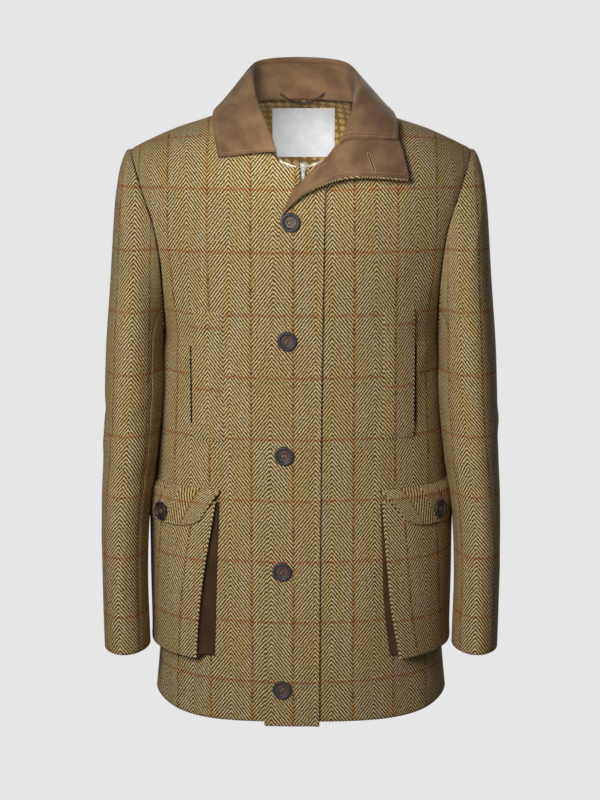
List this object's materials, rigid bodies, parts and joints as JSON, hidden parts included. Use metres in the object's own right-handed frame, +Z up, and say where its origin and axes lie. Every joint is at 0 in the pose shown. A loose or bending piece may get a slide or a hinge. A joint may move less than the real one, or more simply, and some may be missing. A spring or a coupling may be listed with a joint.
{
  "type": "field coat",
  "caption": "Hip-length tweed field coat worn on no body: turn-down brown collar, turned-back lapel, buttoned placket over a zip, chest welts and bellows pockets with flaps.",
  "frame": {"origin": "inside the neck, level with the shoulders, where a wearer carries the coat", "axes": "+Z up, the front faces -Y, +X towards the wearer's left"},
  "size_m": [0.5324, 0.2796, 0.869],
  "materials": {
    "tweed": "wool herringbone, matt",
    "suede": "brushed nap, matt",
    "lining": "woven figure, slight sheen",
    "label": "woven, bare",
    "horn": "polished horn",
    "zip_tape": "woven tape",
    "zip_metal": "satin",
    "chain_metal": "dark, polished"
  },
  "bodies": {
    "coat": {"back": "tweed", "collar_fall": "suede", "collar_stand": "suede", "fly_placket": "tweed", "front_button_1": "horn", "front_button_2": "horn", "front_button_3": "horn", "front_button_4": "horn", "front_button_5": "horn", "hanger_chain": "chain_metal", "lapel": "tweed", "lapel_facing": "suede", "left_flap": "tweed", "left_flap_button": "horn", "left_front": "tweed", "left_gusset": "suede", "left_pocket": "tweed", "left_top_sleeve": "tweed", "left_under_sleeve": "tweed", "left_welt": "tweed", "left_zip_tape": "zip_tape", "neck_label": "label", "neck_lining": "lining", "right_flap": "tweed", "right_flap_button": "horn", "right_front": "tweed", "right_gusset": "suede", "right_pocket": "tweed", "right_top_sleeve": "tweed", "right_under_sleeve": "tweed", "right_welt": "tweed", "right_zip_tape": "zip_tape", "zip_slider": "zip_metal"},
    "pull": {"zip_pull": "zip_metal"}
  },
  "joints": [
    {"name": "pull_hinge", "type": "hinge", "parent": "coat", "child": "pull", "pos_m": [0.003, -0.11377, -0.06582], "axis": [-1, 0, 0], "range_deg": [0, 150]}
  ]
}
